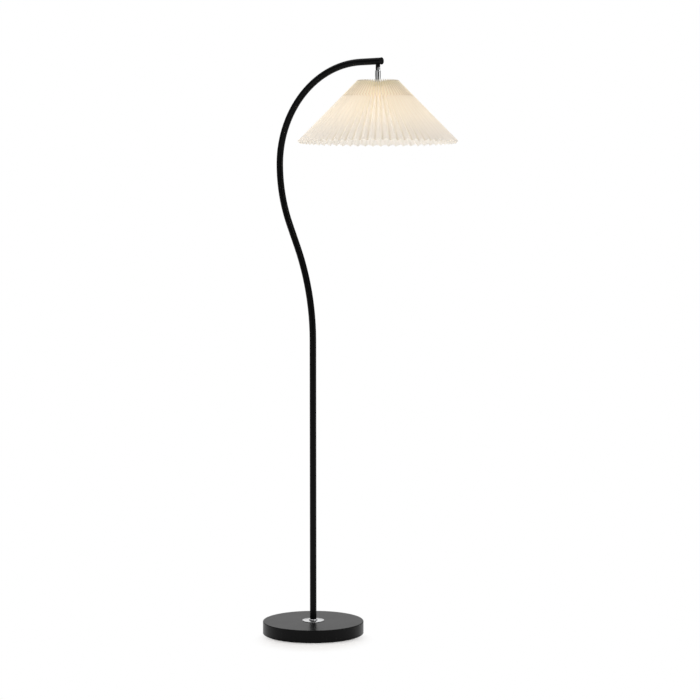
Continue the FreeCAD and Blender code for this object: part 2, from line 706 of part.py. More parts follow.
def bulb_housing():
    """Moulded collar of the bulb, flaring from the cap to the diffuser."""
    low = HOUSING_TOP_Z - BULB_HOUSING
    plug_r = BULB_CAP_R - 0.9 - BULB_CAP_WALL
    return at_lamp(turned((0, HOUSING_TOP_Z + 8), (plug_r, HOUSING_TOP_Z + 8), (plug_r, HOUSING_TOP_Z),
                          (BULB_CAP_R - 0.2, HOUSING_TOP_Z), (BULB_CAP_R + 0.4, HOUSING_TOP_Z - 1),
                          (18.6, HOUSING_TOP_Z - 16, BULB_HOUSING_R, low), (0, low)))


def dome_profile(wall):
    """Stations of the diffuser's outside, or of its inside if a wall is given."""
    high = HOUSING_TOP_Z - BULB_HOUSING
    globe = BULB_R - wall
    slant = globe * math.sqrt(0.5)
    seat = BULB_HOUSING_R - 0.6 - wall
    return [(seat, high), (globe - 0.35, (high + BULB_EQUATOR_Z) / 2, globe, BULB_EQUATOR_Z),
            (slant, BULB_EQUATOR_Z - slant, 0, BULB_EQUATOR_Z - globe)]


def bulb_diffuser():
    """Opal dome of the bulb, a thin shell."""
    outside = turned((0, HOUSING_TOP_Z - BULB_HOUSING), *dome_profile(0.0))
    inside = turned((0, HOUSING_TOP_Z - BULB_HOUSING), *dome_profile(BULB_WALL))
    return at_lamp(outside.cut(inside))


# Lead

def pole_lead():
    """Lead from the cable way of the weight, up the pole and round the arm to the swivel."""
    route = Route(LEAD_START_X, LEAD_Z, 90)
    route.run(-LEAD_START_X - LEAD_FOOT_BEND_R)
    route.bend(LEAD_FOOT_BEND_R, -90)
    follow_arm(route)
    route.run(LAMP_X - LEAD_HEAD_BEND_R - route.point.x)
    route.bend(LEAD_HEAD_BEND_R, 90)
    route.run(4.0)
    return route.swept(LEAD_R)


def head_lead():
    """Lead from the swivel's hollow body down to the core of the holder."""
    return at_lamp(rod(LEAD_R, CAP_BOTTOM_Z + CORE_THICK, PIVOT_Z - SHOULDER - 2.0))


PARTS = {
    "base_cover": base_cover,
    "base_weight": base_weight,
    "foot_pad": foot_pad,
    "cord_bushing": cord_bushing,
    "base_flange": base_flange,
    "pole_hub": pole_hub,
    "base_nipple": base_nipple,
    "base_washer": base_washer,
    "base_spring_washer": base_spring_washer,
    "base_nut": base_nut,
    "pole_lower": lambda: pole_section(POLE_BOTTOM_Z, POLE_MIDDLE_Z),
    "pole_middle": lambda: pole_section(POLE_MIDDLE_Z, POLE_JOINT_Z),
    "pole_foot_bush": lambda: threaded_bush(POLE_BOTTOM_Z + BUSH_LENGTH),
    "joint_bush_lower": lambda: threaded_bush(POLE_MIDDLE_Z),
    "joint_stud_lower": lambda: joint_stud(POLE_MIDDLE_Z),
    "joint_bush_upper": lambda: threaded_bush(POLE_JOINT_Z),
    "joint_stud_upper": lambda: joint_stud(POLE_JOINT_Z),
    "arm_tube": arm_tube,
    "arm_end_cap": arm_end_cap,
    "arm_end_disc": arm_end_disc,
    "arm_boss": arm_boss,
    "swivel_upper": swivel_upper,
    "swivel_lower": swivel_lower,
    "pivot_screw": pivot_screw,
    "pivot_nut": pivot_nut,
    "friction_washer": friction_washer,
    "head_sleeve": head_sleeve,
    "head_nipple": head_nipple,
    "holder_cap": holder_cap,
    "holder_body": holder_body,
    "holder_core": holder_core,
    "holder_screw_shell": holder_screw_shell,
    "holder_contact": holder_contact,
    "shade_ring": shade_ring,
    "shade_carrier": shade_carrier,
    "pleated_shade": pleated_shade,
    "bulb_tip": bulb_tip,
    "bulb_insulator": bulb_insulator,
    "bulb_cap": bulb_cap,
    "bulb_housing": bulb_housing,
    "bulb_diffuser": bulb_diffuser,
    "pole_lead": pole_lead,
    "head_lead": head_lead,
}


def main():
    os.makedirs("parts", exist_ok=True)
    for name, build in PARTS.items():
        build().exportStep(os.path.join("parts", name + ".step"))
    print("lamp axis x", round(LAMP_X, 4), "pivot z", round(PIVOT_Z, 4), "arm z", round(ARM_Z, 4))


main()
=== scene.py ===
"""Finishes, shade cloth and studio for the arc floor lamp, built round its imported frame.

Metres, +Z up, in the frame's own axes: the origin is on the floor under the pole and the arm
reaches towards +X. The rigid parts come from the frame and only get their finishes here. The
pleated cloth and the thread of the lamp holder are modelled here.
"""

import json
import logging
import math
import random
from dataclasses import dataclass, field, replace
from enum import Enum

import bmesh
import bpy
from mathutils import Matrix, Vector


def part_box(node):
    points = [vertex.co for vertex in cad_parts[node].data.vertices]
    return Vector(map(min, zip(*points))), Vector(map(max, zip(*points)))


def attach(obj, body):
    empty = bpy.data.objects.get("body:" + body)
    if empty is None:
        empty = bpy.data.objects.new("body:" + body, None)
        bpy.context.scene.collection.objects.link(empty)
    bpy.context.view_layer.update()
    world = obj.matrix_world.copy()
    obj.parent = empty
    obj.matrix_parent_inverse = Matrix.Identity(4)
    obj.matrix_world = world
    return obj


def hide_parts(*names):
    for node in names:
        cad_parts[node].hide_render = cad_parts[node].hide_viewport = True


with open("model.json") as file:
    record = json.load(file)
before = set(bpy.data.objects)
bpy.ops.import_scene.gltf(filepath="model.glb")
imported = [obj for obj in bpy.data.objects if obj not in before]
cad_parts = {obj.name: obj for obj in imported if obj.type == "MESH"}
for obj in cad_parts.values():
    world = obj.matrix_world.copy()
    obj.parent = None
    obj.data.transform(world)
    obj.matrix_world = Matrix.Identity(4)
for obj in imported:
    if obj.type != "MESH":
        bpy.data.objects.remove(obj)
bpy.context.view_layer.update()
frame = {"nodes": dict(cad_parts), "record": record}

MM = 0.001
PANEL = 12.5 * MM
log = logging.getLogger("arc_floor_lamp")

Triple = tuple[float, float, float]
Colour = Triple
Span = tuple[float, float]

BLACK: Colour = (0.0, 0.0, 0.0)
WHITE: Colour = (1.0, 1.0, 1.0)


def scaled(colour: Colour, share: float) -> Colour:
    """A colour, lighter or darker by a share."""
    return tuple(level * share for level in colour)


# Shader maths

class Signal:
    """A number on a shader socket, so that shader maths reads as arithmetic."""

    def __init__(self, graph: "Graph", socket: bpy.types.NodeSocket) -> None:
        """Keep the graph that owns the socket, and the socket."""
        self.graph = graph
        self.socket = socket

    def __add__(self, other: "Signal | float") -> "Signal":
        """Sum with another signal or number."""
        return self.graph.maths("ADD", self, other)

    __radd__ = __add__

    def __sub__(self, other: "Signal | float") -> "Signal":
        """This less another signal or number."""
        return self.graph.maths("SUBTRACT", self, other)

    def __rsub__(self, other: float) -> "Signal":
        """A number less this."""
        return self.graph.maths("SUBTRACT", other, self)

    def __mul__(self, other: "Signal | float") -> "Signal":
        """Product with another signal or number."""
        return self.graph.maths("MULTIPLY", self, other)

    __rmul__ = __mul__

    def __truediv__(self, other: "Signal | float") -> "Signal":
        """This divided by another signal or number."""
        return self.graph.maths("DIVIDE", self, other)

    def larger(self, other: "Signal | float") -> "Signal":
        """The larger of this and another signal or number."""
        return self.graph.maths("MAXIMUM", self, other)

    def folded(self, span: float) -> "Signal":
        """This folded back and forth between 0 and a span."""
        return self.graph.maths("PINGPONG", self, span)

    def ramp(self, low: float, high: float) -> "Signal":
        """Smooth step from 0 where this is at low to 1 where it is at high.

        Args:
            low: Value at which the step starts.
            high: Value at which it ends; it may lie below low.

        Returns:
            The step, between 0 and 1.
        """
        settings = {"interpolation_type": "SMOOTHSTEP", "clamp": True}
        inputs = {"Value": self, "From Min": low, "From Max": high}
        return self.graph.signal("ShaderNodeMapRange", "Result", settings, inputs)


class MixSocket:
    """Numbers of a Mix node's sockets when it mixes colours, where names are not unique."""

    SHARE = 0
    FIRST = 6
    SECOND = 7
    RESULT = 2


class Graph:
    """The node tree of one material or world."""

    def __init__(self, tree: bpy.types.NodeTree) -> None:
        """Empty the tree, ready for new nodes."""
        self.tree = tree
        tree.nodes.clear()

    def node(self, kind: str, settings: dict | None = None,
             inputs: dict | None = None) -> bpy.types.Node:
        """Add a node.

        Args:
            kind: Blender's name of the node type.
            settings: Properties, set first. The key stops holds a ramp's (place, colour) pairs.
            inputs: Values, signals or sockets for its inputs, by name or number.

        Returns:
            The new node.
        """
        made = self.tree.nodes.new(kind)
        for key, value in (settings or {}).items():
            if key == "stops":
                self._set_stops(made.color_ramp, value)
            else:
                setattr(made, key, value)
        for key, value in (inputs or {}).items():
            self._feed(made.inputs[key], value)
        return made

    def signal(self, kind: str, output: str | int, settings: dict | None = None,
               inputs: dict | None = None) -> Signal:
        """Add a node and wrap one of its outputs as a signal."""
        return Signal(self, self.node(kind, settings, inputs).outputs[output])

    def maths(self, operation: str, *values: Signal | float) -> Signal:
        """Add a Math node with one of its operations on up to three values."""
        inputs = dict(enumerate(values))
        return self.signal("ShaderNodeMath", 0, {"operation": operation}, inputs)

    def blend(self, first: Colour | bpy.types.NodeSocket, second: Colour | bpy.types.NodeSocket,
              share: Signal | float) -> bpy.types.NodeSocket:
        """Mix two colours.

        Args:
            first: Colour or colour socket at a share of 0.
            second: Colour or colour socket at a share of 1.
            share: How much of the second.

        Returns:
            The socket of the mixed colour.
        """
        inputs = {MixSocket.SHARE: share, MixSocket.FIRST: first, MixSocket.SECOND: second}
        made = self.node("ShaderNodeMix", {"data_type": "RGBA"}, inputs)
        return made.outputs[MixSocket.RESULT]

    def layered(self, first: bpy.types.NodeSocket, second: bpy.types.NodeSocket,
                share: Signal | float) -> bpy.types.NodeSocket:
        """Mix two shaders, with a share of the second."""
        inputs = {"Fac": share, 1: first, 2: second}
        return self.node("ShaderNodeMixShader", None, inputs).outputs["Shader"]

    def principled(self, inputs: dict) -> bpy.types.NodeSocket:
        """Principled shader with the given inputs."""
        return self.node("ShaderNodeBsdfPrincipled", None, inputs).outputs["BSDF"]

    def places(self, scale: Triple = (1.0, 1.0, 1.0)) -> bpy.types.NodeSocket:
        """Object coordinates, stretched along each axis.

        Args:
            scale: How much along each axis.

        Returns:
            The socket of the coordinates.
        """
        coordinates = self.node("ShaderNodeTexCoord").outputs["Object"]
        made = self.node("ShaderNodeMapping", None, {"Vector": coordinates, "Scale": scale})
        return made.outputs["Vector"]

    def axes(self, vector: bpy.types.NodeSocket) -> tuple[Signal, Signal, Signal]:
        """The three parts of a vector."""
        parts = self.node("ShaderNodeSeparateXYZ", None, {"Vector": vector}).outputs
        return Signal(self, parts["X"]), Signal(self, parts["Y"]), Signal(self, parts["Z"])

    def grain(self, vector: bpy.types.NodeSocket, size: float, detail: float = 2.0) -> Signal:
        """Noise between 0 and 1 whose features are about one size across, in metres."""
        inputs = {"Vector": vector, "Scale": 1.0 / size, "Detail": detail}
        return self.signal("ShaderNodeTexNoise", "Fac", None, inputs)

    def bump(self, height: Signal, depth: float) -> bpy.types.NodeSocket:
        """Normal of a surface raised by a signal times a depth in metres."""
        inputs = {"Height": height, "Distance": depth, "Strength": 1.0}
        return self.node("ShaderNodeBump", None, inputs).outputs["Normal"]

    def finish(self, shader: bpy.types.NodeSocket) -> None:
        """Send a shader to the output.

        Args:
            shader: Shader of the whole material or world.
        """
        kind = "ShaderNodeOutputMaterial"
        if isinstance(self.tree.id_data, bpy.types.World):
            kind = "ShaderNodeOutputWorld"
        self.node(kind, None, {"Surface": shader})

    def _feed(self, socket: bpy.types.NodeSocket, value: object) -> None:
        """Link a signal or socket to an input, or set a plain value on it.

        Args:
            socket: The input.
            value: Signal, socket, number, colour or vector.
        """
        if isinstance(value, Signal):
            value = value.socket
        if isinstance(value, bpy.types.NodeSocket):
            self.tree.links.new(value, socket)
        elif socket.type == "RGBA" and len(value) == 3:
            socket.default_value = (*value, 1.0)
        else:
            socket.default_value = value

    @staticmethod
    def _set_stops(ramp: bpy.types.ColorRamp, stops: tuple[tuple[float, Colour], ...]) -> None:
        """Give a colour ramp its stops.

        Args:
            ramp: The ramp, new and with two stops.
            stops: Place and colour of each stop, in order.
        """
        while len(ramp.elements) < len(stops):
            ramp.elements.new(1.0)
        for element, (place, colour) in zip(ramp.elements, stops):
            element.position = place
            element.color = (*colour, 1.0)


# Finishes

class Slot(Enum):
    """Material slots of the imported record."""

    BLACK_COAT = "black_coat"
    WHITE_COAT = "white_coat"
    CAST_IRON = "cast_iron"
    FOAM = "foam"
    BLACK_PLASTIC = "black_plastic"
    CHROME = "chrome"
    ZINC_STEEL = "zinc_steel"
    WHITE_PLASTIC = "white_plastic"
    CERAMIC = "ceramic"
    BRASS = "brass"
    NICKEL = "nickel"
    BLACK_GLASS = "black_glass"
    OPAL = "opal"
    SHADE_FABRIC = "shade_fabric"
    LEAD_SHEATH = "lead_sheath"


@dataclass(frozen=True)
class Finish:
    """What every finish has: a name, a colour and how rough it is.

    In every finish, a size is the width of a pattern's features, a depth is how far they stand
    out, and a drift is how far a value wanders over the surface.
    """

    name: str
    colour: Colour
    roughness: float

    def material(self) -> bpy.types.Material:
        """Build the finish as a material.

        Returns:
            The new material.
        """
        made = bpy.data.materials.new(self.name)
        made.use_nodes = True
        graph = Graph(made.node_tree)
        graph.finish(self.surface(graph))
        return made

    def surface(self, graph: Graph) -> bpy.types.NodeSocket:
        """Shader of the finish. Each kind of finish has its own."""
        raise NotImplementedError

    def uneven(self, graph: Graph, drift: float, share: Signal) -> bpy.types.NodeSocket:
        """The finish's colour, wandering darker and lighter by a drift with a signal."""
        darker, lighter = scaled(self.colour, 1.0 - drift), scaled(self.colour, 1.0 + drift)
        return graph.blend(darker, lighter, share)


@dataclass(frozen=True)
class PowderCoat(Finish):
    """Baked powder coat: a dark film with a fine orange-peel surface."""

    reflectance: float = 0.5
    peel_size: float = 0.9 * MM
    peel_depth: float = 0.006 * MM
    dust_size: float = 5.4 * MM
    dust_drift: float = 0.04
    film_size: float = 60 * MM
    film_drift: float = 0.05
    colour_drift: float = 0.18

    def surface(self, graph: Graph) -> bpy.types.NodeSocket:
        """Dark film whose gloss wanders a little, over a fine peel.

        Args:
            graph: Node tree of the material.

        Returns:
            The shader's socket.
        """
        places = graph.places()
        film = graph.grain(places, self.film_size, detail=3.0)
        peel = graph.grain(places, self.peel_size, detail=1.0)
        dust = graph.grain(places, self.dust_size, detail=4.0)
        smoothest = self.roughness - self.dust_drift
        return graph.principled({
            "Base Color": self.uneven(graph, self.colour_drift, film),
            "Roughness": smoothest + self.film_drift * film + self.dust_drift * dust,
            "Specular IOR Level": self.reflectance,
            "Normal": graph.bump(peel, self.peel_depth),
        })


@dataclass(frozen=True)
class Plate(Finish):
    """Bright metal plate: polished, with faint swirls and smudges left by the buffing wheel."""

    smudge_size: float = 7 * MM
    smudge_drift: float = 0.05
    ripple_size: float = 2.1 * MM
    ripple_depth: float = 0.002 * MM
    colour_drift: float = 0.04

    def surface(self, graph: Graph) -> bpy.types.NodeSocket:
        """Mirror metal whose roughness wanders with smudges.

        Args:
            graph: Node tree of the material.

        Returns:
            The shader's socket.
        """
        places = graph.places()
        smudges = graph.grain(places, self.smudge_size, detail=4.0)
        ripple = graph.grain(places, self.ripple_size)
        return graph.principled({
            "Base Color": self.uneven(graph, self.colour_drift, smudges),
            "Metallic": 1.0,
            "Roughness": self.roughness + self.smudge_drift * smudges,
            "Normal": graph.bump(ripple, self.ripple_depth),
        })


@dataclass(frozen=True)
class TurnedMetal(Finish):
    """Turned or drawn metal with fine tool lines across its axis."""

    line_size: float = 0.25 * MM
    line_depth: float = 0.008 * MM
    line_drift: float = 0.10
    line_stretch: Triple = (0.02, 0.02, 1.0)
    tarnish_size: float = 9 * MM
    tarnish_drift: float = 0.06
    colour_drift: float = 0.10

    def surface(self, graph: Graph) -> bpy.types.NodeSocket:
        """Metal with tool lines that run round the Z axis.

        Args:
            graph: Node tree of the material.

        Returns:
            The shader's socket.
        """
        lines = graph.grain(graph.places(self.line_stretch), self.line_size, detail=3.0)
        tarnish = graph.grain(graph.places(), self.tarnish_size, detail=4.0)
        return graph.principled({
            "Base Color": self.uneven(graph, self.colour_drift, tarnish),
            "Metallic": 1.0,
            "Roughness": self.roughness + self.line_drift * lines + self.tarnish_drift * tarnish,
            "Normal": graph.bump(lines, self.line_depth),
        })


@dataclass(frozen=True)
class Moulding(Finish):
    """Moulded plastic, ceramic or glass with a faint surface texture."""

    texture_size: float = 0.6 * MM
    texture_depth: float = 0.006 * MM
    mottle_size: float = 14 * MM
    gloss_drift: float = 0.03
    colour_drift: float = 0.05
    reflectance: float = 0.5

    def surface(self, graph: Graph) -> bpy.types.NodeSocket:
        """Plain body with a slight mottle and a fine moulded texture.

        Args:
            graph: Node tree of the material.

        Returns:
            The shader's socket.
        """
        places = graph.places()
        mottle = graph.grain(places, self.mottle_size, detail=3.0)
        texture = graph.grain(places, self.texture_size)
        return graph.principled({
            "Base Color": self.uneven(graph, self.colour_drift, mottle),
            "Roughness": self.roughness - self.gloss_drift + 2 * self.gloss_drift * mottle,
            "Specular IOR Level": self.reflectance,
            "Normal": graph.bump(texture, self.texture_depth),
        })


@dataclass(frozen=True)
class Casting(Finish):
    """Sand-cast iron with a dull grey paint."""

    metallic: float = 0.6
    sand_size: float = 1.6 * MM
    sand_depth: float = 0.20 * MM
    sand_drift: float = 0.2
    rust_size: float = 35 * MM
    rust_span: Span = (0.5, 0.8)
    rust_share: float = 0.35
    rust_colour: Colour = (0.16, 0.085, 0.05)

    def surface(self, graph: Graph) -> bpy.types.NodeSocket:
        """Rough casting with patches tinted by rust.

        Args:
            graph: Node tree of the material.

        Returns:
            The shader's socket.
        """
        places = graph.places()
        sand = graph.grain(places, self.sand_size, detail=5.0)
        rust = graph.grain(places, self.rust_size, detail=3.0).ramp(*self.rust_span)
        return graph.principled({
            "Base Color": graph.blend(self.colour, self.rust_colour, self.rust_share * rust),
            "Metallic": self.metallic,
            "Roughness": self.roughness + self.sand_drift * sand,
            "Normal": graph.bump(sand, self.sand_depth),
        })


@dataclass(frozen=True)
class Foam(Finish):
    """Closed-cell foam with cut cells on its face."""

    cell_size: float = 0.8 * MM
    cell_depth: float = 0.12 * MM
    cell_drift: float = 0.08
    colour_drift: float = 0.35

    def surface(self, graph: Graph) -> bpy.types.NodeSocket:
        """Matt body pitted by cells.

        Args:
            graph: Node tree of the material.

        Returns:
            The shader's socket.
        """
        inputs = {"Vector": graph.places(), "Scale": 1.0 / self.cell_size}
        cells = graph.signal("ShaderNodeTexVoronoi", "Distance", None, inputs)
        return graph.principled({
            "Base Color": self.uneven(graph, self.colour_drift, cells),
            "Roughness": self.roughness + self.cell_drift * cells,
            "Normal": graph.bump(cells, self.cell_depth),
        })


@dataclass(frozen=True)
class OpalGlow(Finish):
    """Opal diffuser with a lamp alight behind it."""

    glow: Colour = (1.0, 0.985, 0.965)
    dimmest: float = 0.9
    strength: float = 6.8
    cloud_size: float = 12 * MM
    cloud_drift: float = 0.04
    colour_drift: float = 0.02

    def surface(self, graph: Graph) -> bpy.types.NodeSocket:
        """White body that gives warm light, a little uneven.

        Args:
            graph: Node tree of the material.

        Returns:
            The shader's socket.
        """
        cloud = graph.grain(graph.places(), self.cloud_size)
        return graph.principled({
            "Base Color": self.uneven(graph, self.colour_drift, cloud),
            "Roughness": self.roughness + self.cloud_drift * cloud,
            "Emission Color": graph.blend(scaled(self.glow, self.dimmest), self.glow, cloud),
            "Emission Strength": self.strength,
        })


@dataclass(frozen=True)
class ShadeLaminate(Finish):
    """Woven cloth laminated on a stiff film, lit from inside. Its UVs are metres of flat cloth.

    Places across a panel count from a ridge at 0 to a valley at 1. The cloth is backed by a
    second layer on a band at its top, and behind the top of that band stands the carrier's skirt.
    """

    reflectance: float = 0.08
    see_through: float = 0.40
    through_colour: Colour = (0.985, 0.85, 0.67)

    # Bands of the flat cloth. An edge says where its soft step starts and ends.
    panel: float = PANEL
    length: float = 0.21
    backing: float = 53 * MM
    backing_edge: Span = (-1 * MM, 1 * MM)
    skirt: float = 15.5 * MM
    skirt_edge: Span = (-5 * MM, 3 * MM)

    # Threads, and streaks by their width and length.
    thread: float = 0.55 * MM
    thread_share: float = 0.6
    weave_depth: float = 0.015 * MM
    weave_drift: float = 0.1
    slub_size: Span = (0.5 * MM, 14 * MM)
    streak_size: Span = (0.9 * MM, 30 * MM)
    colour_drift: float = 0.035

    # Colours of marks and painted shade on the cloth, how strong each is, where on a panel it
    # lies.
    # The backed band is deeper, for its second layer and as painted shade above the carrier.
    backed_and_shaded_colour: Colour = (0.91, 0.895, 0.825)
    # Painted shade: a darker colour in the valleys, stronger towards the hem and on the backed
    # band.
    valley_shade_colour: Colour = (0.66, 0.63, 0.50)
    valley_shade_span: Span = (0.55, 1.0)
    valley_shade_share: float = 0.16
    valley_shade_at_hem: float = 0.44
    valley_shade_where_backed: float = 0.20
    valley_shade_reach: float = 0.25
    hem_width: float = 1.2 * MM
    hem_share: float = 0.10
    # Painted shade on the panels just beside each ridge, stronger on the backed band.
    ridge_shade_colour: Colour = (0.46, 0.42, 0.33)
    ridge_shade_start: Span = (0.06, 0.12)
    ridge_shade_end: Span = (0.36, 0.24)
    ridge_shade_share: float = 0.09
    ridge_shade_where_backed: float = 0.36
    seam_colour: Colour = (0.55, 0.50, 0.43)
    seam_width: float = 3.2 * MM
    seam_share: float = 0.45
    rim_colour: Colour = (0.34, 0.31, 0.29)
    rim_edge: Span = (-1.5 * MM, 1.0 * MM)
    rim_share: float = 0.8

    # Light that spreads inside the cloth, on ridges, in valleys and along the folds.
    ridge_glow: Colour = (0.11, 0.095, 0.06)
    valley_glow: Colour = (0.12, 0.105, 0.065)
    backed_ridge_glow: Colour = (0.07, 0.07, 0.075)
    backed_valley_glow: Colour = (0.275, 0.25, 0.205)
    skirt_glow: Colour = (0.10, 0.10, 0.072)
    fold_glow: Colour = (0.30, 0.28, 0.21)
    fold_span: Span = (0.10, 0.03)
    fold_where_open: float = 0.3
    fold_under_skirt: float = 0.6
    hem_glow: float = 0.10
    glow_reach: float = 0.5

    def surface(self, graph: Graph) -> bpy.types.NodeSocket:
        """Cloth that scatters light from both sides, with a weave, slubs and creases.

        Args:
            graph: Node tree of the material.

        Returns:
            The shader's socket.
        """
        across, along, _ = graph.axes(graph.node("ShaderNodeUVMap").outputs["UV"])
        weave = self.weave(graph, across, along)
        cloth = graph.principled({
            "Base Color": self.tint(graph, across, along),
            "Roughness": self.roughness + self.weave_drift * weave,
            "Specular IOR Level": self.reflectance,
            "Emission Color": self.soaked(graph, across, along),
            "Emission Strength": 1.0,
            "Normal": graph.bump(weave, self.weave_depth),
        })
        through = graph.node("ShaderNodeBsdfTranslucent", None, {"Color": self.through_colour})
        return graph.layered(cloth, through.outputs["BSDF"], self.see_through)

    def weave(self, graph: Graph, across: Signal, along: Signal) -> Signal:
        """Height of a plain weave whose threads vary in thickness.

        Args:
            graph: Node tree of the material.
            across: Place along the cloth's long edge.
            along: Place up from the hem.

        Returns:
            The height, between 0 and about 1.
        """
        warp = (across / self.thread).folded(1.0)
        weft = (along / self.thread).folded(1.0)
        slubs = self.streaks(graph, across, along, self.slub_size)
        return warp * weft * self.thread_share + slubs * self.thread_share

    def streaks(self, graph: Graph, across: Signal, along: Signal, size: Span) -> Signal:
        """Noise drawn out along the cloth, as thick threads show.

        Args:
            graph: Node tree of the material.
            across: Place along the cloth's long edge.
            along: Place up from the hem.
            size: Width and length of a streak.

        Returns:
            The noise, between 0 and 1.
        """
        width, length = size
        inputs = {"X": across / width, "Y": along / length}
        place = graph.node("ShaderNodeCombineXYZ", None, inputs).outputs["Vector"]
        return graph.grain(place, 1.0)

    def tint(self, graph: Graph, across: Signal, along: Signal) -> bpy.types.NodeSocket:
        """Cream cloth, deeper where backed, with painted shade beside its folds, darker at its
        edges.

        Args:
            graph: Node tree of the material.
            across: Place along the cloth's long edge.
            along: Place up from the hem.

        Returns:
            The socket of the colour.
        """
        fold = across.folded(self.panel) / self.panel
        backed = self.backed(along)
        hemward = along.ramp(self.valley_shade_reach * self.length, 0.0)
        # Painted shade in the valleys; the same colour darkens a thin band along the hem.
        valley_shade = fold.ramp(*self.valley_shade_span) * (
            self.valley_shade_share + self.valley_shade_at_hem * hemward + self.valley_shade_where_backed * backed)
        hem = along.ramp(self.hem_width, 0.0) * self.hem_share
        # Painted shade beside the ridges.
        ridge_shade = fold.ramp(*self.ridge_shade_start) * fold.ramp(*self.ridge_shade_end) * (
            self.ridge_shade_share + self.ridge_shade_where_backed * backed)
        seam = backed * (1.0 - self.backed(along - self.seam_width)) * self.seam_share
        rim = self.below_top(along, 0.0, self.rim_edge) * self.rim_share
        streak = self.streaks(graph, across, along, self.streak_size)
        colour = self.uneven(graph, self.colour_drift, streak)
        # Deeper on the backed band, for its second layer and as painted shade above the carrier.
        colour = graph.blend(colour, self.backed_and_shaded_colour, backed)
        colour = graph.blend(colour, self.ridge_shade_colour, ridge_shade)
        colour = graph.blend(colour, self.valley_shade_colour, valley_shade.larger(hem))
        colour = graph.blend(colour, self.seam_colour, seam)
        return graph.blend(colour, self.rim_colour, rim)

    def soaked(self, graph: Graph, across: Signal, along: Signal) -> bpy.types.NodeSocket:
        """Light of the lamp that has spread along inside the cloth before it comes out.

        Args:
            graph: Node tree of the material.
            across: Place along the cloth's long edge.
            along: Place up from the hem.

        Returns:
            The socket of the light's colour.
        """
        fold = across.folded(self.panel) / self.panel
        backed = self.backed(along)
        skirt = self.below_top(along, self.skirt, self.skirt_edge)
        upward = along.ramp(0.0, self.glow_reach * self.length)
        raised = self.hem_glow + (1.0 - self.hem_glow) * upward
        open_glow = graph.blend(self.ridge_glow, self.valley_glow, fold)
        open_glow = graph.blend(BLACK, open_glow, raised)
        backed_glow = graph.blend(self.backed_ridge_glow, self.backed_valley_glow, fold)
        backed_glow = graph.blend(backed_glow, self.skirt_glow, skirt)
        glow = graph.blend(open_glow, backed_glow, backed)
        bright = fold.ramp(*self.fold_span) * raised
        bright = bright * (self.fold_where_open + (1.0 - self.fold_where_open) * backed)
        bright = bright * (1.0 - self.fold_under_skirt * skirt)
        return graph.blend(glow, self.fold_glow, bright)

    def backed(self, along: Signal) -> Signal:
        """1 on the band at the top that a second layer of cloth backs, and 0 below it."""
        return self.below_top(along, self.backing, self.backing_edge)

    def below_top(self, along: Signal, depth: float, edge: Span) -> Signal:
        """Step from 0 to 1 at a depth below the top, whose soft edge has a start and an end."""
        place = self.length - depth
        return along.ramp(place + edge[0], place + edge[1])


FINISHES: dict[Slot, Finish] = {
    Slot.BLACK_COAT: PowderCoat("satin_black_coat", (0.0022, 0.0022, 0.0023), 0.25,
                                reflectance=0.08),
    Slot.WHITE_COAT: PowderCoat("satin_white_coat", (0.80, 0.78, 0.74), 0.42),
    Slot.CAST_IRON: Casting("cast_iron", (0.11, 0.11, 0.11), 0.62),
    Slot.FOAM: Foam("black_foam", (0.02, 0.02, 0.021), 0.86),
    Slot.BLACK_PLASTIC: Moulding("black_moulding", (0.004, 0.004, 0.0043), 0.32,
                                 reflectance=0.12),
    Slot.CHROME: Plate("polished_chrome", (0.64, 0.645, 0.65), 0.05),
    Slot.ZINC_STEEL: TurnedMetal("zinc_steel", (0.56, 0.57, 0.59), 0.28),
    Slot.WHITE_PLASTIC: Moulding("white_moulding", (0.82, 0.81, 0.78), 0.36),
    Slot.CERAMIC: Moulding("glazed_ceramic", (0.84, 0.82, 0.77), 0.14, texture_size=3 * MM),
    Slot.BRASS: TurnedMetal("bare_brass", (0.74, 0.54, 0.24), 0.24),
    Slot.NICKEL: TurnedMetal("nickel_shell", (0.68, 0.67, 0.64), 0.22),
    Slot.BLACK_GLASS: Moulding("black_glass", (0.008, 0.008, 0.01), 0.08, texture_size=2 * MM),
    Slot.OPAL: OpalGlow("opal_diffuser", (0.92, 0.91, 0.88), 0.30),
    Slot.SHADE_FABRIC: ShadeLaminate("shade_laminate", (0.91, 0.92, 0.925), 0.62),
    Slot.LEAD_SHEATH: Moulding("lead_sheath", (0.80, 0.80, 0.78), 0.45),
}

# The lining is whiter, with a lighter painted shade in its valleys.
LINING = replace(FINISHES[Slot.SHADE_FABRIC], name="shade_lining", colour=(0.93, 0.94, 0.95),
                 through_colour=(0.99, 0.955, 0.91), valley_shade_colour=(0.80, 0.82, 0.80))
COVER_COAT = replace(FINISHES[Slot.BLACK_COAT], name="base_black_coat", roughness=0.31,
                     reflectance=0.10)


class Wardrobe:
    """Materials of the finishes, each made once."""

    def __init__(self) -> None:
        """Start with no material made."""
        self.made: dict[Slot, bpy.types.Material] = {}

    def material(self, slot: Slot) -> bpy.types.Material:
        """The material of a slot.

        Args:
            slot: Material slot of the record.

        Returns:
            Its material, made the first time it is asked for.
        """
        if slot not in self.made:
            self.made[slot] = FINISHES[slot].material()
        return self.made[slot]

    def dress(self, piece: bpy.types.Object, slot: Slot) -> None:
        """Put a slot's material on a piece, and take away any it had."""
        piece.data.materials.clear()
        piece.data.materials.append(self.material(slot))


# Rigid parts of the frame

@dataclass
class FrameParts:
    """Rigid nodes of one sub-assembly, which keep their shape and get their finish."""

    wardrobe: Wardrobe
    names: tuple[str, ...] = ()

    def dress(self) -> None:
        """Give each node the finish of its slot in the record."""
        slots = {p["node"]: Slot(p["material_slot"]) for p in frame["record"]["subparts"]}
        for name in self.names:
            self.wardrobe.dress(frame["nodes"][name], slots[name])
            log.info("%s: %s", name, slots[name].value)


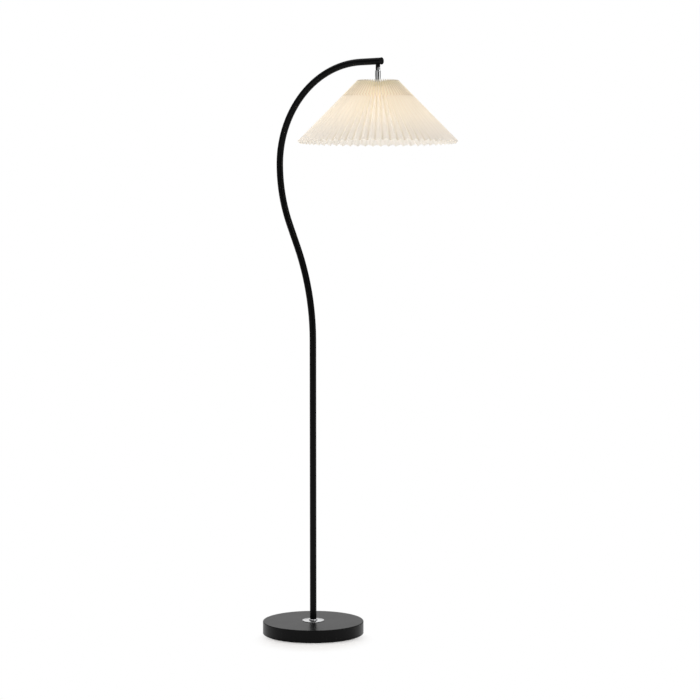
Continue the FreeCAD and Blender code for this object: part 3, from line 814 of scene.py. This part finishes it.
@dataclass
class Base(FrameParts):
    """Weighted base, with its cord bush and the chrome disc and collar round the pole."""

    names: tuple[str, ...] = (
        "base_cover", "base_weight", "foot_pad", "cord_bushing", "base_flange", "pole_hub",
        "base_nipple", "base_washer", "base_spring_washer", "base_nut")

    def dress(self) -> None:
        """Give the nodes their finishes, and the cover a duller coat than the tube's."""
        super().dress()
        frame["nodes"]["base_cover"].data.materials[0] = COVER_COAT.material()


@dataclass
class PoleAndArm(FrameParts):
    """Tubes of the pole and the arm, their joints and end, and the lead inside them."""

    names: tuple[str, ...] = (
        "pole_lower", "pole_middle", "pole_foot_bush", "joint_bush_lower", "joint_stud_lower",
        "joint_bush_upper", "joint_stud_upper", "arm_tube", "arm_end_cap", "arm_end_disc",
        "arm_boss", "pole_lead")


@dataclass
class Swivel(FrameParts):
    """Two half tongues and the screw that they turn on."""

    names: tuple[str, ...] = (
        "swivel_upper", "swivel_lower", "pivot_screw", "pivot_nut", "friction_washer")


@dataclass
class LampHolder(FrameParts):
    """Sleeve, holder, ring nut and carrier of the shade, and the lead inside them."""

    names: tuple[str, ...] = (
        "head_sleeve", "head_nipple", "holder_cap", "holder_body", "holder_core",
        "holder_screw_shell", "holder_contact", "shade_ring", "shade_carrier", "head_lead")


@dataclass
class Bulb(FrameParts):
    """Bulb with an opal dome."""

    names: tuple[str, ...] = (
        "bulb_tip", "bulb_insulator", "bulb_cap", "bulb_housing", "bulb_diffuser")


# Pieces modelled here

def finished(name: str, shape: bmesh.types.BMesh, smooth: bool = True) -> bpy.types.Object:
    """Turn a bmesh into an object at the origin.

    Args:
        name: Name of the piece.
        shape: Its mesh, in the frame's axes, which is freed.
        smooth: Whether its faces shade smoothly.

    Returns:
        The new object.
    """
    mesh = bpy.data.meshes.new(name)
    shape.to_mesh(mesh)
    shape.free()
    if smooth:
        mesh.shade_smooth()
    else:
        mesh.shade_flat()
    piece = bpy.data.objects.new(name, mesh)
    bpy.context.scene.collection.objects.link(piece)
    return piece


def middle_of(node: str) -> Vector:
    """Centre of a frame node's box."""
    low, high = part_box(node)
    return (low + high) / 2


@dataclass
class PleatedShade:
    """Strip of laminate folded into a cone of even panels, glued round the carrier's skirt.

    Places across the strip count in panels, with ridges at even numbers and valleys at odd ones.
    At a gathering of 0 the points are evenly spaced, and at a crispness of 1 the folds are sharp.
    Crowding moves the folds towards one side, in radians. Each fold wanders along the hem by a
    share of a panel and flutters in depth, and steadying takes that away towards the top.
    """

    wardrobe: Wardrobe
    node: str = "pleated_shade"
    pleats: int = 64
    panel: float = PANEL
    top_radius: float = 51.0 * MM
    cloth: float = 0.5 * MM
    valley_drop: float = 6.1 * MM
    weld: float = 0.01 * MM
    steps_per_panel: int = 8
    rows: int = 22
    gathering: float = 0.6
    crispness: float = 0.992
    crowding: float = 0.05
    crowded_side: float = math.radians(-57)
    wander: float = 0.07
    flutter: float = 0.4 * MM
    steadying: float = 0.75
    seed: int = 7
    axis: Vector = field(init=False)
    hem_radius: float = field(init=False)
    hem: float = field(init=False)
    rise: float = field(init=False)
    slant: float = field(init=False)
    panels: int = field(init=False)
    width: float = field(init=False)
    shifts: list[float] = field(init=False)
    depths: list[float] = field(init=False)

    def __post_init__(self) -> None:
        """Read the shade's place and height from the frame, and draw its unevenness."""
        low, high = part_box(self.node)
        self.axis = (low + high) / 2
        self.hem_radius = (high.x - low.x) / 2
        self.hem = low.z + self.valley_drop
        self.rise = high.z - self.hem
        self.slant = math.hypot(self.rise, self.hem_radius - self.top_radius)
        self.panels = 2 * self.pleats
        self.width = self.panels * self.panel
        dice = random.Random(self.seed)
        self.shifts = [dice.uniform(-1, 1) for _ in range(self.panels)]
        self.depths = [dice.uniform(-1, 1) for _ in range(self.panels)]

    def build(self) -> bpy.types.Object:
        """Fold the cloth, give it its thickness and finish, and hang it on the head.

        Returns:
            The finished shade.
        """
        piece = finished("shade_cloth", self.folded_strip())
        wall = piece.modifiers.new("cloth", "SOLIDIFY")
        wall.thickness = self.cloth
        wall.offset = -1.0
        wall.material_offset = 1
        wall.material_offset_rim = 0
        self.wardrobe.dress(piece, Slot.SHADE_FABRIC)
        piece.data.materials.append(LINING.material())
        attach(piece, "head")
        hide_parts(self.node)
        return piece

    def folded_strip(self) -> bmesh.types.BMesh:
        """Flat strip of cloth, with its UVs in metres, folded into the pleated cone.

        Returns:
            The strip's mesh, closed at its joining edge.
        """
        half_side = 0.5
        strip = bmesh.new()
        bmesh.ops.create_grid(strip, x_segments=self.panels * self.steps_per_panel,
                              y_segments=self.rows, size=half_side)
        uv = strip.loops.layers.uv.new("flat_cloth")
        for vert in strip.verts:
            across, up = vert.co.x + half_side, vert.co.y + half_side
            vert.co = Vector((self.gathered(across), up * self.slant, 0.0))
        for face in strip.faces:
            for loop in face.loops:
                loop[uv].uv = loop.vert.co.xy
        for vert in strip.verts:
            vert.co = self.folded(vert.co.x / self.panel, vert.co.y / self.slant)
        bmesh.ops.remove_doubles(strip, verts=strip.verts, dist=self.weld)
        for edge in strip.edges:
            edge.smooth = not edge.is_boundary
        return strip

    def gathered(self, share: float) -> float:
        """Place along the strip, with the points drawn closer together at the folds.

        Args:
            share: Place from one end at 0 to the other at 1.

        Returns:
            The place in metres.
        """
        step = share * self.panels
        drawn = self.gathering * math.sin(2 * math.pi * step) / (2 * math.pi)
        return (step - drawn) * self.panel

    def folded(self, step: float, up: float) -> Vector:
        """Where a point of the strip goes.

        Args:
            step: Place across the strip in panels.
            up: Place from the hem at 0 to the top edge at 1.

        Returns:
            The point on the pleated cone.
        """
        narrowing = self.hem_radius - self.top_radius
        radius = self.hem_radius - narrowing * up
        half_pitch = math.pi / self.pleats
        loose = 1.0 - self.steadying * up
        shift = self.between(self.shifts, step) * self.wander * loose
        bow = self.between(self.depths, step) * self.flutter * loose
        angle = (step + shift) * half_pitch
        angle -= self.crowding * math.sin(angle - self.crowded_side)
        wave = math.asin(self.crispness * math.cos(math.pi * step)) / math.asin(self.crispness)
        depth = math.sqrt(max(self.panel ** 2 - (radius * half_pitch) ** 2, 0.0))
        sunk = depth * (1.0 - wave) / 2 + abs(bow)
        reach = radius - sunk * self.rise / self.slant
        height = self.hem + self.rise * up - sunk * narrowing / self.slant
        return Vector((self.axis.x + reach * math.cos(angle), reach * math.sin(angle), height))

    def between(self, values: list[float], step: float) -> float:
        """Value part of the way from one fold to the next.

        Args:
            values: One value for each fold.
            step: Place across the strip in panels.

        Returns:
            The value there.
        """
        fold = math.floor(step)
        here = values[fold % self.panels]
        there = values[(fold + 1) % self.panels]
        return here + (there - here) * (step - fold)


@dataclass
class HolderThread:
    """Moulded thread on the skirt of the lamp holder, below the ring nut.

    The foot and the gaps are shares of the pitch.
    """

    wardrobe: Wardrobe
    root: float = 18.9 * MM
    crest: float = 20.0 * MM
    pitch: float = 3.0 * MM
    land: float = 1.0 * MM
    half_foot: float = 0.36
    top_gap: float = 0.5
    bottom_gap: float = 0.8
    steps_per_turn: int = 48

    def build(self) -> bpy.types.Object:
        """Spin the thread's section into a helix from below the ring nut to the skirt's end.

        Returns:
            The finished thread.
        """
        axis = middle_of("holder_body")
        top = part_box("shade_ring")[0].z - self.top_gap * self.pitch
        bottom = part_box("holder_body")[0].z + self.bottom_gap * self.pitch
        turns = (top - bottom) / self.pitch
        foot = self.half_foot * self.pitch
        corners = ((self.root, foot), (self.crest, self.land / 2),
                   (self.crest, -self.land / 2), (self.root, -foot))
        thread = bmesh.new()
        verts = [thread.verts.new((axis.x + r, axis.y, top + h)) for r, h in corners]
        face = thread.faces.new(verts)
        steps = round(turns * self.steps_per_turn)
        drop = (bottom - top) / steps
        bmesh.ops.spin(thread, geom=[face, *face.edges, *verts], cent=axis, axis=(0, 0, 1),
                       dvec=(0, 0, drop), angle=2 * math.pi * turns, steps=steps)
        bmesh.ops.holes_fill(thread, edges=thread.edges)
        bmesh.ops.recalc_face_normals(thread, faces=thread.faces)
        piece = finished("holder_thread", thread, smooth=False)
        self.wardrobe.dress(piece, Slot.WHITE_PLASTIC)
        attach(piece, "head")
        return piece


# Studio

def seen_directly(graph: Graph) -> Signal:
    """1 for rays that show the background: from the camera, mirrored or passing through glass.

    Args:
        graph: Node tree of the material or world.

    Returns:
        The signal, 0 for rays that only carry light.
    """
    path = graph.node("ShaderNodeLightPath").outputs
    seen = Signal(graph, path["Is Camera Ray"]).larger(Signal(graph, path["Is Glossy Ray"]))
    return seen.larger(Signal(graph, path["Is Transmission Ray"]))


@dataclass
class Floor:
    """Pale floor that fades into the white background away from the lamp."""

    radius: float = 9.0
    segments: int = 64
    colour: Colour = (0.93, 0.92, 0.908)
    darkest: float = 0.985
    mottle_size: float = 0.4
    shadow_centre: Triple = (0.052, -0.074, 0.0)
    shadow_edge: Span = (0.09, 0.16)

    def build(self) -> bpy.types.Object:
        """Round sheet under the lamp.

        Returns:
            The floor.
        """
        disc = bmesh.new()
        bmesh.ops.create_circle(disc, cap_ends=True, segments=self.segments, radius=self.radius)
        piece = finished("floor", disc, smooth=False)
        piece.data.materials.append(self.material())
        return piece

    def material(self) -> bpy.types.Material:
        """Matt paint that is plain white where it is seen or mirrored away from the shadow.

        Returns:
            The new material.
        """
        made = bpy.data.materials.new("floor_paint")
        made.use_nodes = True
        graph = Graph(made.node_tree)
        places = graph.node("ShaderNodeTexCoord").outputs["Object"]
        apart = {0: places, 1: self.shadow_centre}
        reach = graph.signal("ShaderNodeVectorMath", "Value", {"operation": "DISTANCE"}, apart)
        mottle = graph.grain(places, self.mottle_size, detail=3.0)
        paint = graph.principled({
            "Base Color": graph.blend(scaled(self.colour, self.darkest), self.colour, mottle),
            "Roughness": 1.0,
            "Specular IOR Level": 0.0,
        })
        white = graph.node("ShaderNodeEmission", None, {"Color": WHITE, "Strength": 1.0})
        share = seen_directly(graph) * reach.ramp(*self.shadow_edge)
        graph.finish(graph.layered(paint, white.outputs["Emission"], share))
        return made


@dataclass
class SoftBox:
    """Rectangular studio lamp."""

    name: str
    place: Vector
    aim: Vector
    size: tuple[float, float]
    power: float
    colour: Colour = WHITE
    mirrored: bool = False

    def build(self) -> bpy.types.Object:
        """Hang the lamp and turn it to what it lights.

        Returns:
            The lamp's object.
        """
        light = bpy.data.lights.new(self.name, "AREA")
        light.shape = "RECTANGLE"
        light.size, light.size_y = self.size
        light.energy = self.power
        light.color = self.colour
        lamp = bpy.data.objects.new(self.name, light)
        lamp.location = self.place
        lamp.visible_glossy = self.mirrored
        lamp.rotation_euler = (self.aim - self.place).to_track_quat("-Z", "Y").to_euler()
        bpy.context.scene.collection.objects.link(lamp)
        return lamp


@dataclass
class Surroundings:
    """White studio that lights plainly, and what bright metal mirrors of it.

    Metal mirrors a ring of light and dark walls, dark flags with a slit between them in front,
    a white backdrop behind and a white ceiling. Facing is the way from the front to the backdrop,
    as an angle from north. Places round the ring and of the slit are shares of a turn. Heights
    and depths are those of a direction, from -1 to 1.
    """

    facing: float
    front: float = 0.5
    ambient: Colour = (0.76, 0.76, 0.765)
    ring: tuple[Span, ...] = (
        (0.0, 0.10), (0.16, 0.34), (0.30, 0.22), (0.38, 0.42), (0.43, 0.80), (0.46, 0.80),
        (0.48, 0.0), (0.62, 0.0), (0.65, 1.3), (0.74, 1.3), (0.78, 0.10), (0.92, 0.35),
        (1.0, 0.10))
    slit: Span = (0.56, 0.62)
    slit_edge: float = 0.02
    flag_level: float = 0.03
    flag_height: Span = (0.12, 0.17)
    flag_depth: Span = (0.2, 0.0)
    backdrop_height: Span = (0.085, 0.12)
    backdrop_depth: Span = (0.6, 0.9)
    ceiling_height: Span = (0.35, 0.7)

    def build(self) -> None:
        """Set the scene's world: white where it is seen, and a plain soft level elsewhere."""
        world = bpy.data.worlds.new("studio")
        world.use_nodes = True
        bpy.context.scene.world = world
        graph = Graph(world.node_tree)
        glossy = Signal(graph, graph.node("ShaderNodeLightPath").outputs["Is Glossy Ray"])
        shown = self.background(graph, graph.blend(WHITE, self.mirrored(graph), glossy))
        lights = self.background(graph, self.ambient)
        graph.finish(graph.layered(lights, shown, seen_directly(graph)))

    def background(self, graph: Graph,
                   colour: Colour | bpy.types.NodeSocket) -> bpy.types.NodeSocket:
        """Background shader of a colour."""
        inputs = {"Color": colour, "Strength": 1.0}
        return graph.node("ShaderNodeBackground", None, inputs).outputs["Background"]

    def mirrored(self, graph: Graph) -> bpy.types.NodeSocket:
        """What bright metal mirrors in each direction.

        Args:
            graph: Node tree of the world.

        Returns:
            The socket of its colour.
        """
        east, north, up = graph.axes(graph.node("ShaderNodeTexCoord").outputs["Generated"])
        right = east * math.cos(self.facing) + north * math.sin(self.facing)
        away = north * math.cos(self.facing) - east * math.sin(self.facing)
        turn = self.front + graph.maths("ARCTAN2", right, 0.0 - away) / (2 * math.pi)
        stops = tuple((place, scaled(WHITE, level)) for place, level in self.ring)
        walls = graph.node("ShaderNodeValToRGB", {"stops": stops}, {"Fac": turn}).outputs["Color"]
        start, end = self.slit
        slit = turn.ramp(start - self.slit_edge, start) * turn.ramp(end + self.slit_edge, end)
        flags = graph.blend(scaled(WHITE, self.flag_level), WHITE, slit)
        in_flags = up.ramp(*self.flag_height) * away.ramp(*self.flag_depth)
        in_backdrop = up.ramp(*self.backdrop_height) * away.ramp(*self.backdrop_depth)
        in_white = up.ramp(*self.ceiling_height).larger(in_backdrop)
        return graph.blend(graph.blend(walls, flags, in_flags), WHITE, in_white)


@dataclass
class Camera:
    """Camera at a standing viewer's chest height, to the front and right of the lamp."""

    around: float = math.radians(34.96)
    distance: float = 5.0407
    height: float = 1.0481
    pan: float = math.radians(33.88)
    pitch: float = math.radians(-3.583)
    lens: float = 101.35
    sensor: float = 36.0

    def build(self) -> None:
        """Stand the camera in its place and make it the scene's."""
        data = bpy.data.cameras.new("camera")
        data.lens = self.lens
        data.sensor_width = self.sensor
        camera = bpy.data.objects.new("camera", data)
        camera.location = (self.distance * math.sin(self.around),
                           -self.distance * math.cos(self.around), self.height)
        level = math.radians(90)
        camera.rotation_euler = (level + self.pitch, 0.0, self.pan)
        bpy.context.scene.collection.objects.link(camera)
        bpy.context.scene.camera = camera


@dataclass
class Studio:
    """Floor, white surroundings, soft lamps and the camera."""

    lamp_middle: Triple = (0.1, 0.0, 1.0)
    lamp_foot: Triple = (0.1, 0.0, 0.0)

    def build(self) -> None:
        """Set up the floor, the world, the lamps and the camera."""
        camera = Camera()
        Floor().build()
        Surroundings(camera.pan).build()
        for lamp in self.lamps():
            lamp.build()
        camera.build()
        bpy.context.scene.view_settings.view_transform = "Standard"

    def lamps(self) -> tuple[SoftBox, ...]:
        """Large warm key on the left, and a top light behind that bright metal mirrors.

        Returns:
            The lamps, not yet built.
        """
        key = SoftBox("key", place=Vector((-2.2, -2.0, 2.2)), aim=Vector(self.lamp_middle),
                      size=(2.6, 2.2), power=34.0, colour=(1.0, 0.985, 0.965))
        top = SoftBox("top", place=Vector((0.3, 0.9, 3.2)), aim=Vector(self.lamp_foot),
                      size=(2.2, 1.6), power=22.0, mirrored=True)
        return key, top


def main() -> None:
    """Dress the frame's parts, build the cloth and the thread, then set up the studio."""
    logging.basicConfig(level=logging.INFO, format="%(name)s: %(message)s")
    wardrobe = Wardrobe()
    for assembly in (Base, PoleAndArm, Swivel, LampHolder, Bulb):
        assembly(wardrobe).dress()
    for part in (PleatedShade(wardrobe), HolderThread(wardrobe)):
        piece = part.build()
        log.info("%s: %d faces", piece.name, len(piece.data.polygons))
    Studio().build()


if __name__ == "__main__":
    main()
